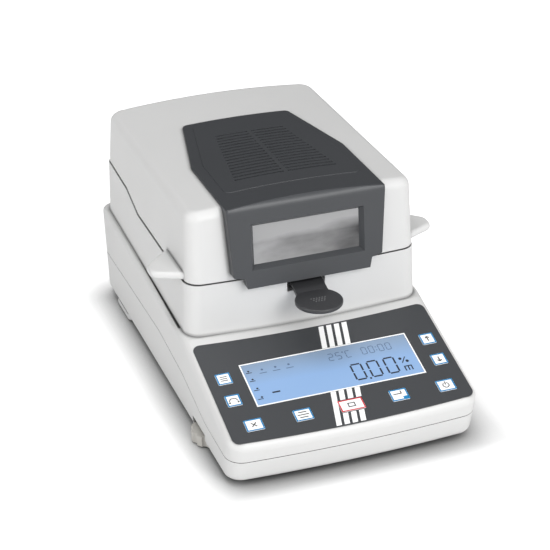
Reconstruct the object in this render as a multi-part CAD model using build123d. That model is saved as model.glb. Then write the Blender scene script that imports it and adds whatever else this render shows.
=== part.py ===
from build123d import *
from math import atan2, cos, degrees, radians, sin, tan
import os

# A bench moisture analyzer: a housing with a sloping key panel, a heated sample chamber with a
# weighing pan, and a hinged lid that holds the halogen lamp. Millimetres, +Z up, front faces -Y,
# origin on the table under the middle of the whole object.

# Overall size
DEPTH = 368.0
BACK = DEPTH / 2
EAR_SPAN = 240.0
WALL = 3.0
FIT = 0.3
SKIN = 0.1
# How far joined features reach into a wall, and how far bosses stay behind the outer face
EMBED = 0.5
BOSS_BEHIND = 0.8

# Housing: widths and places of the outside, from the bottom up
BASE_BOTTOM = 5.0
BASE_BOTTOM_HALF = 102.0
LEDGE_HALF = 103.8
LEDGE_Z = 74.0
LEDGE_BACK_Z = 86.0
BASE_TOP_Z = 90.0
BASE_FRONT_AT_BOTTOM = -172.3
FRONT_LEAN = 14.5
FRONT_BOW = 4.0
BASE_FRONT_CORNER = 14.0
BASE_BACK_CORNER = 12.0
BASE_BOTTOM_ROUND = 5.0
NOSE_ROUND = 7.0
LEDGE_ROUND = 3.0
SEAM_GAP = 0.6
LIP_HEIGHT = 5.0
LIP_WALL = 1.5
LIP_TIE = 4.0

# Parting line between bottom and top shell, as (y, z) from the back to the front
SEAM_LINE = [(BACK + 5, 41.0), (5.0, 46.5), (-58.0, 40.5), (-117.0, 26.5), (-BACK - 20, 24.0)]
SEAM_ROUND = 60.0

# Key panel: its slope, the top edge of the dark overlay and the overlay's size
PANEL_SLOPE = 16.0
PANEL_TOP_Y = -75.2
PANEL_TOP_Z = 72.1
OVERLAY_HALF = 98.5
OVERLAY_LENGTH = 106.7
OVERLAY_BOW = 3.8
OVERLAY_CORNER = 6.0
OVERLAY_THICK = 0.5
OVERLAY_PROUD = 0.2

# Neck: the upper housing that the lid closes on
NECK_BOTTOM_HALF = 99.3
NECK_TOP_HALF = 96.3
NECK_FRONT = -66.2
NECK_BACK = 179.0
NECK_CORNER = 13.0
DECK_Z = 119.3
REAR_DECK_Z = 129.0
REAR_DECK_RISE = 4.0
DECK_STEP_FRONT = 76.0
DECK_STEP_BACK = 111.0
DECK_THICK = 3.0
GROOVE_BACK = 85.0
GROOVE_FRONT = -48.0
GROOVE_WIDE = 2.6
GROOVE_DEEP = 2.2

# Lid: it closes on the neck with a shadow gap
LID_GAP = 1.6
LID_BOTTOM_HALF = 96.3
LID_TOP_HALF = 94.3
LID_FRONT_BOTTOM = -66.6
LID_FRONT_TOP = -63.2
LID_BACK_TOP = 170.0
LID_CROWN_Z = 184.0
LID_EDGE_Z = 178.5
LID_TOP_ROUND = 8.0
LID_WALL = 2.6

# Ears that lift the lid
EAR_Y = -31.0
EAR_ROOT = 52.0
EAR_TIP = 14.0
EAR_TIP_Y = -38.0
EAR_CORNER = 9.0
EAR_THICK = 6.5
EAR_ROUND = 3.0

# Dark lid cover with the vent slots and the window
COVER_PROUD = 2.0
COVER_BACK = 99.5
COVER_BACK_HALF = 47.3
COVER_KINK = 15.0
COVER_HALF = 65.7
COVER_FRONT_TOP = -74.3
COVER_FRONT_BOTTOM = -79.0
COVER_STEP_HALF = 62.4
COVER_STEP_Z = 126.5
TAB_TOP_HALF = 53.1
TAB_TOP_Z = 124.2
TAB_HALF = 51.4
TAB_Z = 115.6
COVER_NOSE_ROUND = 8.0
COVER_CORNER = 5.0
COVER_EDGE_ROUND = 1.6
COVER_RIM_ROUND = 1.2
PLATEAU_INSET = 9.0
PLATEAU_PROUD = 0.5
PLATEAU_ROUND = 0.4
PLATEAU_FRONT = -46.0
SLOT_COUNT = 17
SLOT_FRONT = -26.5
SLOT_BACK = 62.5
SLOT_WIDE = 2.0
SLOT_GRID_FRONT_HALF = 43.0
SLOT_GRID_BACK_HALF = 30.0
SLOT_RIB_HALF = 1.7

# Window in the front of the cover
WINDOW_HALF = 44.0
WINDOW_LOW = 133.5
WINDOW_HIGH = 166.0
WINDOW_BEVEL = 3.0
WINDOW_DEPTH = 4.5
WINDOW_GLASS = 2.0
WINDOW_FRAME = 2.5
GASKET_THICK = 1.5

# Sample chamber, weighing pan and pan lifter
PAN_Y = 9.5
CHAMBER_RADIUS = 62.0
CHAMBER_SHEET = 1.0
CHAMBER_FLANGE = 4.0
CHAMBER_FLOOR_Z = 86.0
CHAMBER_FLOOR_SHEET = 2.0
SPINDLE_HOLE = 9.0
SHIELD_RADIUS = 55.0
SHIELD_WALL = 2.0
LIFTER_Z = 103.0
LIFTER_THICK = 3.0
LIFTER_INNER = 48.2
LIFTER_OUTER = 55.5
HANDLE_DISC_RADIUS = 19.0
HANDLE_DISC_Y = -98.5
HANDLE_DISC_Z = 103.0
HANDLE_DISC_THICK = 3.6
HANDLE_NECK_HALF = 13.0
HANDLE_NECK_Z = 107.0
HANDLE_NOTCH_HALF = 16.0
HANDLE_NOTCH_Z = 102.4
TROUGH_WALL = 2.5
PAN_RADIUS = 46.0
PAN_FLOOR_Z = 100.6
PAN_RIM_Z = 107.6
PAN_FLANGE = 3.6
PAN_SHEET = 0.8
CARRIER_THICK = 2.4
CARRIER_REACH = 40.0
SPINDLE_RADIUS = 4.0
WEIGH_TRAVEL = 0.3

# Round spirit level in the deck
LEVEL_X = -74.0
LEVEL_Y = -42.0
LEVEL_RADIUS = 8.0
LEVEL_WALL = 1.5
LEVEL_DEEP = 7.0

# Load cell on its cast mount
CELL_LENGTH = 96.0
CELL_WIDTH = 30.0
CELL_HEIGHT = 24.0
CELL_Z = 34.0
CELL_EYE = 7.5
CELL_END = 22.0
CELL_SLOT = 3.0
CELL_STOP_GAP = 0.6
MOUNT_THICK = 5.0
MOUNT_Z = 11.0
MOUNT_WIDE = 48.0
MOUNT_LONG = 116.0
MOUNT_BOSS_X = 16.0
MOUNT_BOSS_Y = 49.0
MOUNT_Y = PAN_Y + 29.0

# Keys: name, centre across the panel, centre down the panel, width, height
KEY_ROW_PITCH = 39.5
KEY_ROW_CENTRE = 1.3
KEY_ROW_DOWN = 91.7
KEY_SIDE_LEFT = -84.8
KEY_SIDE_RIGHT = 86.5
KEY_SIDE_UPPER = 40.2
KEY_SIDE_LOWER = 63.8
KEY_SQUARE = 11.6
KEY_WIDE = 14.2
KEY_TARE_WIDE = 19.8
KEY_HIGH = 11.6
KEY_CORNER = 0.8
KEY_PROUD = 0.25
KEY_GAP = 0.3
KEY_TRAVEL = 0.3
KEY_SKIRT = 1.2
KEY_SKIRT_REACH = 1.0
DOME_RADIUS = 3.0
DOME_HIGH = 0.9

# Display
LCD_CENTRE = 0.8
LCD_DOWN = 52.0
LCD_WIDE = 138.0
LCD_HIGH = 43.6
LCD_RIM = 4.5
LCD_DEEP = 8.0
LENS_THICK = 1.3
LENS_BELOW = 0.1
LCD_FIT = 0.5

# Boards and power supply
BOARD_THICK = 1.6
BOARD_DOWN_TOP = 20.0
BOARD_DOWN_BOTTOM = 99.0
BOARD_HALF = 94.0
BOARD_POST_X = 76.0
BOARD_POST_DOWN = (26.0, 78.0)
MAIN_BOARD_X = 58.0
MAIN_BOARD_Y = 112.0
MAIN_BOARD_WIDE = 64.0
MAIN_BOARD_LONG = 90.0
MAIN_BOARD_Z = 18.0
# Parts on the board: place across, place along, width, length, height
MAIN_BOARD_CHIPS = [(-18, 20, 22, 22, 3), (14, 16, 14, 10, 3), (14, -22, 26, 12, 12), (-22, -24, 12, 12, 18)]
SUPPLY_X = -60.0
SUPPLY_Y = 112.0
SUPPLY_WIDE = 60.0
SUPPLY_LONG = 72.0
SUPPLY_HIGH = 46.0
POST_RADIUS = 3.5
SUPPLY_FOOT = 2.0
SUPPLY_BOSS_X = 24.0
SUPPLY_BOSS_Y = 26.0
FLOOR_BOSS_RADIUS = 4.5

# Feet: two screw feet in front, two rubber feet behind
FOOT_X = 92.0
FOOT_FRONT_Y = -98.5
FOOT_BACK_Y = 130.5
WHEEL_RADIUS = 16.0
WHEEL_LOBES = 10
WHEEL_LOBE_CUT = 3.2
WHEEL_LOW = 1.2
WHEEL_HIGH = 10.2
STUD_RADIUS = 4.0
STUD_TOP = 28.0
RUN_FIT = 0.06
PAD_RADIUS = 9.0
PAD_THICK = 1.0
PAD_PIN_RADIUS = 3.0
PAD_PIN_TOP = 7.0
WELL_RADIUS = 18.5
WELL_TOP = 14.5
SCREW_FRONT_X = 58.0
SCREW_FRONT_Y = -160.0
SCREW_BACK_X = 84.0
SCREW_BACK_Y = 165.0
SCREW_RADIUS = 1.5
SCREW_TOP = 32.0
SCREW_HEAD_RADIUS = 3.6
SCREW_HEAD_LOW = 6.6
SCREW_HEAD_TOP = 9.0
SCREW_CROSS = (4.4, 0.9)
SCREW_BOSS_RADIUS = 5.5
SCREW_BOSS_TOP = 18.0
SCREW_BOSS_RIB = 3.0
REAR_PAD_RADIUS = 10.0
REAR_PAD_THICK = 2.0
BUMP_LONG = 44.0
BUMP_WIDE = 26.0
BUMP_Z = 2.0
BUMP_CORNER = 6.0
WELL_WALL = 2.5
STUD_WALL = 4.0

# Back panel: mains inlet with fuse drawer and serial port
INLET_X = -58.0
INLET_Z = 23.5
INLET_WIDE = 28.0
INLET_HIGH = 31.0
INLET_FLANGE = 2.0
INLET_MOUTH_WIDE = 24.0
INLET_MOUTH_HIGH = 16.0
INLET_MOUTH_DEEP = 16.0
INLET_BODY_DEEP = 24.0
PIN_PITCH = 7.0
PIN_THICK = 2.0
PIN_TALL = 4.0
PORT_X = 52.0
PORT_Z = 24.0
PORT_WIDE = 31.0
PORT_HIGH = 12.5
PORT_SCREW_PITCH = 25.0
PORT_FLANGE = 1.0
PORT_NUT = 1.5
PORT_NUT_RADIUS = 2.7
PORT_SHELL = (16.9, 8.3)
PORT_DEEP = 8.0
PORT_BEHIND = 1.8
BED_FIT = 0.2
FUSE_WIDE = 14.0
FUSE_HIGH = 5.6
FUSE_DEEP = 18.0
FUSE_BELOW_TOP = 2.6
MOUTH_ABOVE_LOW = 2.5
MOUTH_CHAMFER = 4.5
# Air slots in the floor
AIR_SLOTS = 7
AIR_SLOT_LONG = 44.0
AIR_SLOT_WIDE = 3.0
AIR_SLOT_PITCH = 8.0
AIR_SLOT_Y = 118.0

# Hinge
HINGE_Y = 180.0
HINGE_Z = 134.0
KNUCKLE_RADIUS = 4.0
HINGE_PIN_RADIUS = 2.0
HINGE_X = 62.0
KNUCKLE_LONG = 10.0
KNUCKLE_GAP = 0.3
LEAF_THICK = 1.6
LEAF_HIGH = 20.0
NOTCH_CLEAR = 0.8

# Heating unit in the lid
LID_PLATE_Z = 124.0
LID_PLATE_REAR_Z = 137.5
LID_SHEET = 1.2
LID_POST_X = 84.0
HOOD_HALF = 60.0
HOOD_FRONT = -58.0
HOOD_BACK = 69.0
HOOD_TOP = 172.0
HOOD_SHEET = 1.2
REFLECTOR_HALF = 36.0
REFLECTOR_DEEP = 18.0
REFLECTOR_SHEET = 1.0
LAMP_RADIUS = 4.5
LAMP_PIN_RADIUS = 3.0
LAMP_LONG = 84.0
LAMP_Z = 160.0
LAMP_GLASS_RADIUS = 56.0
LAMP_GLASS_THICK = 3.0
LAMP_GLASS_Z = 146.0
PROBE_Z = 137.0

PANEL = Plane(origin=(0, PANEL_TOP_Y, PANEL_TOP_Z), x_dir=(1, 0, 0),
              z_dir=(0, -sin(radians(PANEL_SLOPE)), cos(radians(PANEL_SLOPE))))
OVERLAY_BED = OVERLAY_PROUD - OVERLAY_THICK


def key_list():
    # Each key as (name, across, down, width, height)
    row = [KEY_ROW_CENTRE + KEY_ROW_PITCH * step for step in (-2, -1, 0, 1, 2)]
    keys = [("key_menu", KEY_SIDE_LEFT, KEY_SIDE_UPPER, KEY_SQUARE),
            ("key_test", KEY_SIDE_LEFT, KEY_SIDE_LOWER, KEY_SQUARE),
            ("key_up", KEY_SIDE_RIGHT, KEY_SIDE_UPPER, KEY_SQUARE),
            ("key_down", KEY_SIDE_RIGHT, KEY_SIDE_LOWER, KEY_SQUARE),
            ("key_escape", row[0], KEY_ROW_DOWN, KEY_WIDE),
            ("key_start", row[1], KEY_ROW_DOWN, KEY_WIDE),
            ("key_tare", row[2], KEY_ROW_DOWN, KEY_TARE_WIDE),
            ("key_enter", row[3], KEY_ROW_DOWN, KEY_WIDE),
            ("key_power", row[4], KEY_ROW_DOWN, KEY_WIDE)]
    return [(name, across, down, wide, KEY_HIGH) for name, across, down, wide in keys]


def across(points):
    # Solid with a given (y, z) outline, wider than the object
    face = make_face(Plane.YZ * Polyline(*points, close=True))
    return extrude(face, 200, dir=(1, 0, 0), both=True)


def along(points):
    # Solid with a given (x, z) outline, longer than the object
    face = make_face(Plane.XZ * Polyline(*points, close=True))
    return extrude(face, 300, dir=(0, 1, 0), both=True)


def bowed_front(half, y, z, lean, inset):
    # Large leaning cylinder whose skin is the bowed front face
    radius = (half ** 2 + FRONT_BOW ** 2) / (2 * FRONT_BOW)
    centre = Pos(0, y - FRONT_BOW + radius / cos(radians(lean)), z) * Rot(lean, 0, 0)
    return centre * Cylinder(radius - inset, 2 * radius)


def round_corners(block, front_radius, back_radius):
    # Rounds the four upright corners of a housing block
    upright_edges = block.edges().filter_by(lambda e: abs(e.tangent_at(0.5).Z) > 0.8)
    block = fillet(upright_edges.filter_by(lambda e: e.center().Y < 0), front_radius)
    upright_edges = block.edges().filter_by(lambda e: abs(e.tangent_at(0.5).Z) > 0.8)
    return fillet(upright_edges.filter_by(lambda e: e.center().Y > BACK - 40), back_radius)


def base_outside(inset=0.0):
    # Outer volume of the housing below the ledge, or its hollow when inset
    low, high = BASE_BOTTOM + inset, BASE_TOP_Z
    bottom, top = BASE_BOTTOM_HALF - inset, LEDGE_HALF - inset
    block = along([(-bottom, low), (bottom, low), (top, high), (-top, high)])
    block &= across([(-BACK - 40, low), (BACK - inset, low), (BACK - inset, high),
                     (-BACK - 40, high)])
    block &= bowed_front(BASE_BOTTOM_HALF, BASE_FRONT_AT_BOTTOM, BASE_BOTTOM, FRONT_LEAN, inset)
    return round_corners(block, BASE_FRONT_CORNER - inset, BASE_BACK_CORNER - inset)


def seam_surface(shift=0.0):
    # Everything above the parting line, which dips towards the front
    line = [(y, z + shift) for y, z in SEAM_LINE]
    top = 300.0
    face = make_face(Polyline(*line, (line[-1][0], top), (line[0][0], top), close=True))
    bends = face.vertices().filter_by(lambda v: v.Y < 100 and abs(v.X) < BACK - 10)
    face = fillet(bends, SEAM_ROUND)
    return extrude(Plane.YZ * face, 200, dir=(1, 0, 0), both=True)


def panel_point(down, height=0.0):
    # (y, z) of a place on the panel, so far down from the overlay's top edge
    slope = radians(PANEL_SLOPE)
    return (PANEL_TOP_Y - down * cos(slope) - height * sin(slope),
            PANEL_TOP_Z - down * sin(slope) + height * cos(slope))


def ledge_z(y, inset=0.0):
    # Height of the ledge, which rises evenly from the panel's brow to the back
    share = (y - PANEL_TOP_Y) / (BACK - PANEL_TOP_Y)
    return LEDGE_Z + (LEDGE_BACK_Z - LEDGE_Z) * share - inset


def wedge(inset=0.0):
    # Everything below the ledge and the sloping panel
    slope = tan(radians(PANEL_SLOPE))
    top = panel_point(0, -inset)
    brow_y = top[0] + (ledge_z(top[0], inset) - top[1]) / slope
    far = panel_point(140, -inset)
    return across([(BACK + 5, 0), (BACK + 5, ledge_z(BACK + 5, inset)),
                   (brow_y, ledge_z(brow_y, inset)), far, (far[0], 0)])


def neck_outside(inset=0.0):
    low, high = LEDGE_Z - 16, 140.0
    bottom, top = NECK_BOTTOM_HALF - inset, NECK_TOP_HALF - inset
    block = along([(-bottom, low), (bottom, low), (top, high), (-top, high)])
    block &= across([(-120, low), (NECK_BACK - inset, low), (NECK_BACK - inset, high), (-120, high)])
    block &= bowed_front(NECK_TOP_HALF, NECK_FRONT, DECK_Z, 0, inset)
    return round_corners(block, NECK_CORNER - inset, NECK_CORNER - inset)


def deck_line(shift):
    # Top of the neck from the front, which steps up and then rises towards the hinge
    return [(-BACK, DECK_Z + shift), (DECK_STEP_FRONT, DECK_Z + shift),
            (DECK_STEP_BACK, REAR_DECK_Z + shift), (BACK + 5, REAR_DECK_Z + REAR_DECK_RISE + shift)]


def below_deck(drop=0.0):
    # Everything under the top of the neck
    return across([(-BACK, 0), *deck_line(-drop), (BACK + 5, 0)])


def overlay_outline(grow=0.0):
    half = OVERLAY_HALF + grow
    top, low = grow, -OVERLAY_LENGTH - grow
    upper = ThreePointArc((-half, top), (0, top - OVERLAY_BOW), (half, top))
    lower = ThreePointArc((half, low), (0, low - OVERLAY_BOW), (-half, low))
    face = make_face(upper + Line((half, top), (half, low)) + lower + Line((-half, low), (-half, top)))
    return fillet(face.vertices(), OVERLAY_CORNER + grow)


def key_openings(low, high, gap):
    cuts = []
    for name, x, down, wide, tall in key_list():
        hole = RectangleRounded(wide + 2 * gap, tall + 2 * gap, KEY_CORNER + gap)
        cuts.append(PANEL * Pos(x, -down, low) * extrude(hole, high - low))
    return cuts


def lcd_opening(grow, low, high):
    return PANEL * Pos(LCD_CENTRE, -LCD_DOWN, low) * extrude(
        Rectangle(LCD_WIDE + 2 * grow, LCD_HIGH + 2 * grow), high - low)


def on_axis_x(radius, x0, x1, y, z):
    # Cylinder along X between two places
    return Pos((x0 + x1) / 2, y, z) * Rot(0, 90, 0) * Cylinder(radius, x1 - x0)


def upright(radius, low, high, x, y):
    return Pos(x, y, (low + high) / 2) * Cylinder(radius, high - low)


def hinge_sides():
    # Both hinges: for each the middle, and the spans of the fixed and the moving knuckles
    spans = []
    for middle in (-HINGE_X, HINGE_X):
        half = KNUCKLE_LONG / 2
        inner = (middle - half, middle + half)
        left = (inner[0] - KNUCKLE_GAP - KNUCKLE_LONG, inner[0] - KNUCKLE_GAP)
        right = (inner[1] + KNUCKLE_GAP, inner[1] + KNUCKLE_GAP + KNUCKLE_LONG)
        spans.append((middle, inner, left, right))
    return spans


def main_board_posts():
    wide, long = MAIN_BOARD_WIDE / 2 - 6, MAIN_BOARD_LONG / 2 - 6
    return [(MAIN_BOARD_X + i * wide, MAIN_BOARD_Y + j * long) for i in (-1, 1) for j in (-1, 1)]


def housing_screw_places():
    return [(side * x, y) for side in (-1, 1) for x, y in ((SCREW_FRONT_X, SCREW_FRONT_Y),
                                                           (SCREW_BACK_X, SCREW_BACK_Y))]


def locating_lip():
    # Lip that stands up inside the top shell, tied to the wall below the parting line
    lip = base_outside(WALL + FIT) - base_outside(WALL + FIT + LIP_WALL)
    lip &= seam_surface(-LIP_TIE) - seam_surface(LIP_HEIGHT)
    tie = base_outside(WALL - EMBED) - base_outside(WALL + FIT + LIP_WALL)
    return lip + (tie & (seam_surface(-LIP_TIE) - seam_surface(-1.0)))


def foot_well(shell, side):
    # Closed well for the foot's wheel with a threaded boss for its stud
    x = side * FOOT_X
    inside = base_outside(BOSS_BEHIND)
    well = upright(WELL_RADIUS + WELL_WALL, BASE_BOTTOM + 1, WELL_TOP + WELL_WALL, x, FOOT_FRONT_Y)
    boss = upright(STUD_RADIUS + STUD_WALL, WELL_TOP, STUD_TOP, x, FOOT_FRONT_Y)
    shell = shell + (well & inside) + (boss & inside)
    shell -= upright(WELL_RADIUS, 0, WELL_TOP, x, FOOT_FRONT_Y)
    return shell - upright(STUD_RADIUS + RUN_FIT, 0, STUD_TOP + 5, x, FOOT_FRONT_Y)


def floor_bosses():
    # Places, radii and tops of the bosses for the load cell mount, the supply and the board
    bosses = [(i * MOUNT_BOSS_X, MOUNT_Y + j * MOUNT_BOSS_Y, FLOOR_BOSS_RADIUS, MOUNT_Z)
              for i in (-1, 1) for j in (-1, 1)]
    bosses += [(SUPPLY_X + i * SUPPLY_BOSS_X, SUPPLY_Y + j * SUPPLY_BOSS_Y, FLOOR_BOSS_RADIUS, MOUNT_Z)
               for i in (-1, 1) for j in (-1, 1)]
    return bosses + [(x, y, POST_RADIUS, MAIN_BOARD_Z) for x, y in main_board_posts()]


def bottom_shell():
    outside = base_outside()
    outside = fillet(outside.faces().sort_by(Axis.Z)[0].edges(), BASE_BOTTOM_ROUND)
    shell = outside - base_outside(WALL) - seam_surface() + locating_lip()
    bump = extrude(RectangleRounded(BUMP_WIDE, BUMP_LONG, BUMP_CORNER), BASE_BOTTOM + 2 - BUMP_Z)
    for side in (-1, 1):
        shell += Pos(side * (BASE_BOTTOM_HALF - BUMP_WIDE / 2 - FIT), FOOT_BACK_Y, BUMP_Z) * bump
        shell = foot_well(shell, side)
    for x, y, radius, top in floor_bosses():
        shell += upright(radius, BASE_BOTTOM + WALL - EMBED, top, x, y)
    for x, y in housing_screw_places():
        shell += upright(SCREW_BOSS_RADIUS, BASE_BOTTOM + EMBED, SCREW_BOSS_TOP, x, y)
        shell -= upright(SCREW_RADIUS + BOSS_BEHIND, 0, SCREW_BOSS_TOP + 5, x, y)
        shell -= upright(SCREW_HEAD_RADIUS + FIT, 0, SCREW_HEAD_TOP, x, y)
    for step in range(AIR_SLOTS):
        shell -= Pos(0, AIR_SLOT_Y + AIR_SLOT_PITCH * step, BASE_BOTTOM) * Box(
            AIR_SLOT_LONG, AIR_SLOT_WIDE, 4 * WALL)
    for cut in port_cuts():
        shell -= cut
    return shell


def port_cuts():
    # Ways through the back wall for the inlet and the port, with shallow beds for their flanges
    inlet = Pos(INLET_X, BACK, INLET_Z)
    port = Pos(PORT_X, BACK, PORT_Z)
    fit, behind = 2 * BED_FIT, 2 * PORT_BEHIND
    return [inlet * Box(INLET_WIDE - behind, 30, INLET_HIGH - behind),
            inlet * Box(INLET_WIDE + fit, 2 * INLET_FLANGE, INLET_HIGH + fit),
            port * Box(PORT_SHELL[0] + behind / 2, 30, PORT_SHELL[1] + behind / 2),
            port * Box(PORT_WIDE + fit, 2 * (PORT_NUT + PORT_FLANGE), PORT_HIGH + fit)]


def top_outside():
    # Ledge and panel block with rounded nose and rim, and the neck with its cove at the front
    block = base_outside() & wedge()
    nose = block.edges().filter_by(lambda e: e.center().Y < -165 and e.center().Z > 36)
    block = fillet(nose, NOSE_ROUND)
    rim = block.edges().filter_by(lambda e: abs(e.center().X) > 90 and e.center().Z > 50
                                  and e.length > 60)
    block = fillet(rim, LEDGE_ROUND)
    return block + (neck_outside() & below_deck())


def groove(side):
    # Long dark groove between neck and ledge, widening to the front
    inner = NECK_BOTTOM_HALF - 1.0
    outline = Polyline((side * (inner + 0.4), GROOVE_BACK), (side * inner, GROOVE_FRONT),
                       (side * (inner + GROOVE_WIDE), GROOVE_FRONT), close=True)
    cut = Pos(0, 0, LEDGE_Z - 10) * extrude(make_face(outline), 30)
    ends = (GROOVE_FRONT - 1, GROOVE_BACK + 1)
    floor = [(y, ledge_z(y, GROOVE_DEEP)) for y in ends]
    roof = [(y, ledge_z(y, -FIT)) for y in reversed(ends)]
    return cut & across(floor + roof)


def lifter_trough():
    # Floor and cheeks that carry the lifter's handle from the chamber to the front
    back, front = PAN_Y - CHAMBER_RADIUS + 4, NECK_FRONT + 2
    low = HANDLE_NOTCH_Z - TROUGH_WALL
    return Pos(0, (front + back) / 2, (low + DECK_Z) / 2) * Box(
        2 * (HANDLE_NOTCH_HALF + TROUGH_WALL), back - front, DECK_Z - low)


def top_screw_boss(x, y):
    # Boss down to the bottom shell's boss; the rear ones hang on a rib from the side wall
    low, high = SCREW_BOSS_TOP + FIT, BASE_TOP_Z
    boss = upright(SCREW_BOSS_RADIUS - EMBED, low, high, x, y)
    if y > 0:
        reach = BASE_BOTTOM_HALF - abs(x)
        rib = Pos(x + (reach / 2 if x > 0 else -reach / 2), y, high / 2) * Box(
            reach, SCREW_BOSS_RIB, high)
        boss += rib & seam_surface(LIP_HEIGHT + FIT)
    return boss & base_outside(BOSS_BEHIND) & wedge(BOSS_BEHIND)


def top_shell():
    hollow = base_outside(WALL) & wedge(WALL)
    hollow += neck_outside(WALL) & below_deck(DECK_THICK)
    shell = (top_outside() - hollow) & seam_surface(SEAM_GAP)
    shell += lifter_trough()
    shell -= upright(CHAMBER_RADIUS + CHAMBER_SHEET + FIT, LEDGE_Z - 14, DECK_Z + 20, 0, PAN_Y)
    shell -= Pos(0, NECK_FRONT, HANDLE_NOTCH_Z + 20) * Box(2 * HANDLE_NOTCH_HALF, 60, 40)
    shell -= level_well()
    # Overlay bed, display and keys
    shell -= PANEL * Pos(0, 0, OVERLAY_BED) * extrude(overlay_outline(BED_FIT), 6)
    shell -= lcd_opening(LCD_FIT, -8, 4)
    for cut in key_openings(-10, 4, KEY_GAP):
        shell -= cut
    for side in (-1, 1):
        shell -= groove(side)
    for middle, inner, left, right in hinge_sides():
        shell -= on_axis_x(KNUCKLE_RADIUS + NOTCH_CLEAR, left[0] - 1, right[1] + 1, HINGE_Y, HINGE_Z)
    for x, y in housing_screw_places():
        shell += top_screw_boss(x, y)
        shell -= upright(SCREW_RADIUS + SKIN, 10, SCREW_TOP + 2, x, y)
    return shell


def panel_overlay():
    foil = extrude(overlay_outline(), OVERLAY_THICK)
    foil = PANEL * Pos(0, 0, OVERLAY_BED) * foil
    foil -= lcd_opening(0, -4, 4)
    for cut in key_openings(-4, 4, KEY_GAP):
        foil -= cut
    return foil


def display_window():
    lens = RectangleRounded(LCD_WIDE - 0.2, LCD_HIGH - 0.2, 0.6)
    return PANEL * Pos(LCD_CENTRE, -LCD_DOWN, OVERLAY_PROUD - LENS_THICK - LENS_BELOW) * extrude(
        lens, LENS_THICK)


def lcd_module():
    # Glass cell that fills the opening, on a wider can behind the panel
    top = OVERLAY_PROUD - LENS_THICK - LENS_BELOW
    low = -WALL - BED_FIT
    face = Rectangle(LCD_WIDE - 2 * LCD_FIT, LCD_HIGH - 2 * LCD_FIT)
    can = Rectangle(LCD_WIDE + 2 * LCD_RIM, LCD_HIGH + 2 * LCD_RIM)
    body = Pos(0, 0, low) * extrude(face, top - low) + Pos(0, 0, low - LCD_DEEP) * extrude(can, LCD_DEEP)
    return PANEL * Pos(LCD_CENTRE, -LCD_DOWN, 0) * body


def keypad_board():
    # Board behind the panel: it carries a dome switch under each key and frames the display
    dome_top = -WALL - FIT - KEY_SKIRT - KEY_TRAVEL - SKIN
    top = dome_top - DOME_HIGH
    middle = (BOARD_DOWN_TOP + BOARD_DOWN_BOTTOM) / 2
    board = Pos(0, -middle, top - BOARD_THICK) * extrude(
        Rectangle(2 * BOARD_HALF, BOARD_DOWN_BOTTOM - BOARD_DOWN_TOP), BOARD_THICK)
    rim = 2 * (LCD_RIM + LCD_FIT)
    board -= Pos(LCD_CENTRE, -LCD_DOWN, top - 10) * extrude(Rectangle(LCD_WIDE + rim, LCD_HIGH + rim), 20)
    for name, x, down, wide, tall in key_list():
        board += Pos(x, -down, top) * extrude(Circle(DOME_RADIUS), DOME_HIGH)
    for x in (-BOARD_POST_X, BOARD_POST_X):
        for down in BOARD_POST_DOWN:
            board += Pos(x, -down, top) * extrude(Circle(BOARD_THICK), -WALL - top)
    board = PANEL * board
    for side in (-1, 1):
        board -= upright(SCREW_BOSS_RADIUS + EMBED, 20, 80, side * SCREW_FRONT_X, SCREW_FRONT_Y)
    return board


def key_cap(x, down, wide, tall):
    # Cap with a skirt under the panel, so it can't come out
    low = -WALL - FIT
    cap = Pos(0, 0, low) * extrude(RectangleRounded(wide, tall, KEY_CORNER),
                                   OVERLAY_PROUD + KEY_PROUD - low)
    skirt = Pos(0, 0, low - KEY_SKIRT) * extrude(
        RectangleRounded(wide + 2 * KEY_SKIRT_REACH, tall + 2 * KEY_SKIRT_REACH, KEY_CORNER), KEY_SKIRT)
    return PANEL * Pos(x, -down, 0) * (cap + skirt)


def chamber_ring():
    # Pressed cup that lines the sample chamber, with a flange on the deck and a lip for the floor
    outer = upright(CHAMBER_RADIUS + CHAMBER_SHEET, CHAMBER_FLOOR_Z - 1.5, DECK_Z, 0, PAN_Y)
    flange = upright(CHAMBER_RADIUS + CHAMBER_FLANGE, DECK_Z, DECK_Z + 0.6, 0, PAN_Y)
    ring = outer + flange - upright(CHAMBER_RADIUS, CHAMBER_FLOOR_Z, DECK_Z + 1, 0, PAN_Y)
    ring -= upright(CHAMBER_RADIUS - 4, 60, DECK_Z, 0, PAN_Y)
    ring -= Pos(0, PAN_Y - CHAMBER_RADIUS, HANDLE_NOTCH_Z + 30) * Box(
        2 * HANDLE_NOTCH_HALF, 40, 60)
    return ring


def chamber_floor():
    plate = upright(CHAMBER_RADIUS - FIT, CHAMBER_FLOOR_Z, CHAMBER_FLOOR_Z + CHAMBER_FLOOR_SHEET,
                    0, PAN_Y)
    return plate - upright(SPINDLE_HOLE, 60, 120, 0, PAN_Y)


def draft_shield():
    low = CHAMBER_FLOOR_Z + CHAMBER_FLOOR_SHEET
    ring = upright(SHIELD_RADIUS, low, LIFTER_Z, 0, PAN_Y)
    ring -= upright(SHIELD_RADIUS - SHIELD_WALL, 60, 120, 0, PAN_Y)
    return ring


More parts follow.
